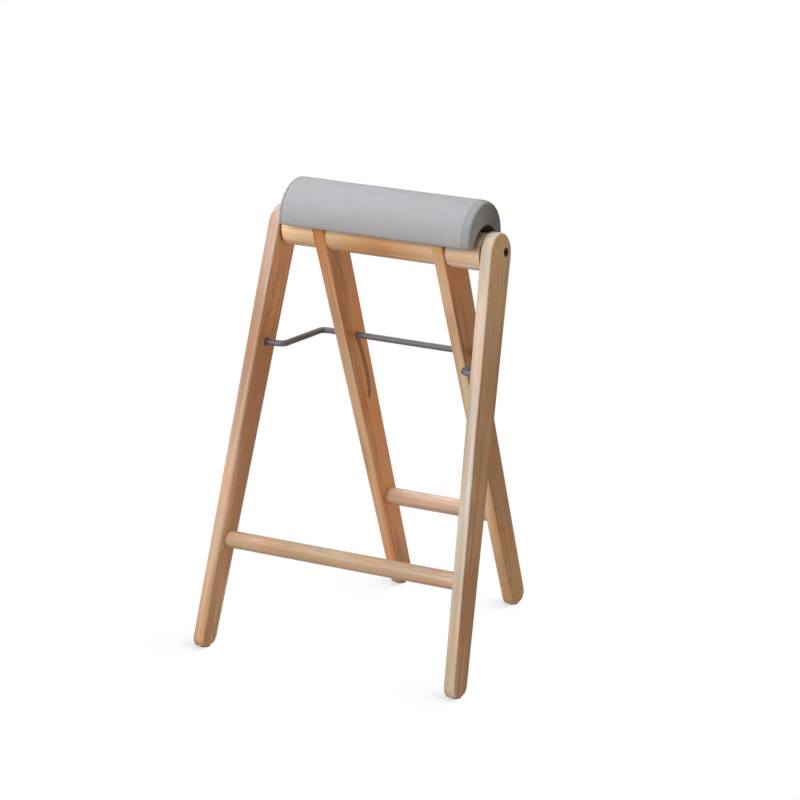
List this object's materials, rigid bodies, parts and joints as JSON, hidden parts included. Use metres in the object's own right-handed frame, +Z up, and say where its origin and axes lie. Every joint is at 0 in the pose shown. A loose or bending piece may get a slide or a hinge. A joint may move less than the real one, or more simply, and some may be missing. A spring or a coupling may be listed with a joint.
{
  "type": "folding stool",
  "caption": "Tall folding stool with a padded roll seat on a round wooden bar, crossed tapered legs with round rungs, and a bent steel stay that slides in slots.",
  "frame": {"origin": "on the floor, at the middle of the open stool's bounding box", "axes": "+X along the seat bar, +Y from the front legs towards the rear legs, +Z up"},
  "size_m": [0.479, 0.4678, 0.7418],
  "materials": {
    "oiled_beech": "light beech with fine grain, oiled, satin",
    "light_grey_fabric": "plain-woven light grey upholstery fabric, matte",
    "coated_steel": "dark grey powder coat, satin",
    "black_steel": "black oxide, satin",
    "zinc": "zinc plated",
    "dark_nylon": "moulded nylon, matte",
    "black_shell": "moulded plastic, matte",
    "foam": "upholstery foam, open-celled",
    "cork": "pressed cork, matte"
  },
  "bodies": {
    "rear_frame": {"seat_bar": "oiled_beech", "rear_leg_left": "oiled_beech", "rear_leg_right": "oiled_beech", "rear_rung": "oiled_beech", "rear_glide_left": "dark_nylon", "rear_glide_right": "dark_nylon", "leg_screw_left": "zinc", "leg_screw_right": "zinc", "pivot_insert_left": "zinc", "pivot_insert_right": "zinc", "pivot_bolt_left": "black_steel", "pivot_bolt_right": "black_steel", "cushion_cover": "light_grey_fabric", "cushion_end_left": "light_grey_fabric", "cushion_end_right": "light_grey_fabric", "cushion_foam": "foam", "cushion_shell": "black_shell", "cushion_saddle_left": "cork", "cushion_saddle_right": "cork", "cushion_screw_left": "zinc", "cushion_screw_right": "zinc"},
    "front_frame": {"front_leg_left": "oiled_beech", "front_leg_right": "oiled_beech", "front_rung": "oiled_beech", "front_glide_left": "dark_nylon", "front_glide_right": "dark_nylon", "pivot_washer_left": "dark_nylon", "pivot_washer_right": "dark_nylon", "stay_bush_left": "dark_nylon", "stay_bush_right": "dark_nylon"},
    "stay": {"stay_rod": "coated_steel"}
  },
  "joints": [
    {"name": "front_frame_fold", "type": "hinge", "parent": "rear_frame", "child": "front_frame", "pos_m": [0, -0.0086, 0.6615], "axis": [1, 0, 0], "range_deg": [0, 32]},
    {"name": "stay_swing", "type": "hinge", "parent": "front_frame", "child": "stay", "pos_m": [0, -0.07651, 0.48], "axis": [1, 0, 0], "range_deg": [-91.5, 0]}
  ],
  "couplings": [
    {"joint": "stay_swing", "follows": "front_frame_fold", "ratio": -2.8569}
  ]
}
